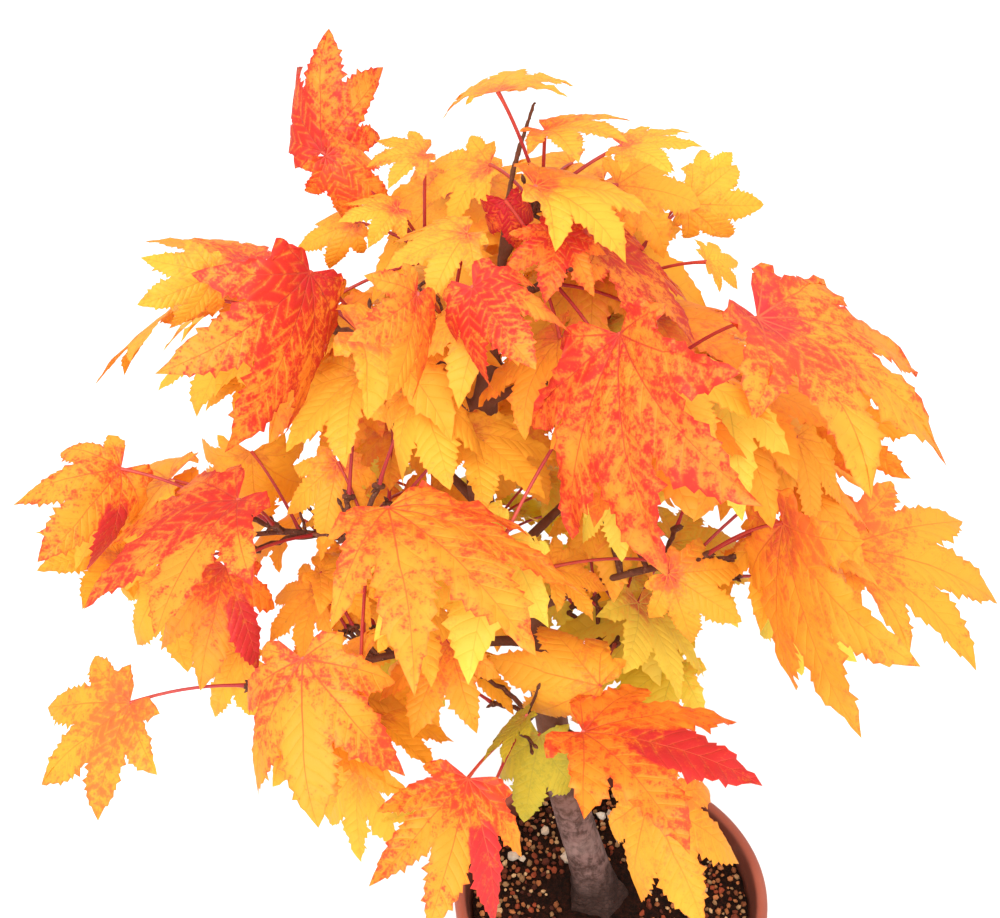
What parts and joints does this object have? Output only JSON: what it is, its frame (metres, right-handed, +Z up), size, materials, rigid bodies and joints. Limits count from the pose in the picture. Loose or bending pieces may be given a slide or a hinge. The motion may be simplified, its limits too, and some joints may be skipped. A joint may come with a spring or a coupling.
{
  "type": "maple bonsai in a round clay pot",
  "caption": "Leaning maple bonsai in yellow, orange and red autumn leaf, with a flared, curving trunk and long-stalked lobed leaves, growing in gritty soil in a round clay pot.",
  "frame": {"origin": "centre of the pot's flat underside", "axes": "+Z up along the pot's axis, -Y towards the front of the tree that the picture shows, +X to the right of that front"},
  "size_m": [0.4021, 0.3206, 0.5079],
  "materials": {
    "bark": "matte",
    "leaf_yellow": "satin",
    "leaf_orange": "satin",
    "leaf_red": "satin",
    "leaf_lime": "satin",
    "pot": "matte",
    "soil": "matte"
  },
  "bodies": {
    "root": {"pot": "pot", "soil": "soil", "trunk": "bark", "bough_apex": "bark", "bough_crown_front": "bark", "bough_right_top_back": "bark", "bough_left_top": "bark", "bough_left_upper": "bark", "bough_front_left_upper": "bark", "bough_right_upper": "bark", "bough_front_centre": "bark", "bough_left_mid": "bark", "bough_centre_left": "bark", "bough_lower_left": "bark", "bough_low_front": "bark", "bough_low_right_front": "bark", "bough_right_mid": "bark", "bough_inner_right": "bark", "bough_back_left": "bark", "bough_back_centre": "bark", "bough_back_right": "bark", "bough_back_low": "bark", "foliage_apex": "leaf_orange", "foliage_crown_front": "leaf_red", "foliage_right_top_back": "leaf_yellow", "foliage_left_top": "leaf_orange", "foliage_left_upper": "leaf_orange", "foliage_front_left_upper": "leaf_orange", "foliage_right_upper": "leaf_orange", "foliage_front_centre": "leaf_red", "foliage_left_mid": "leaf_red", "foliage_centre_left": "leaf_orange", "foliage_lower_left": "leaf_orange", "foliage_low_front": "leaf_red", "foliage_low_right_front": "leaf_orange", "foliage_right_mid": "leaf_orange", "foliage_inner_right": "leaf_lime", "foliage_back_left": "leaf_yellow", "foliage_back_centre": "leaf_yellow", "foliage_back_right": "leaf_yellow", "foliage_back_low": "leaf_lime"}
  },
  "joints": []
}
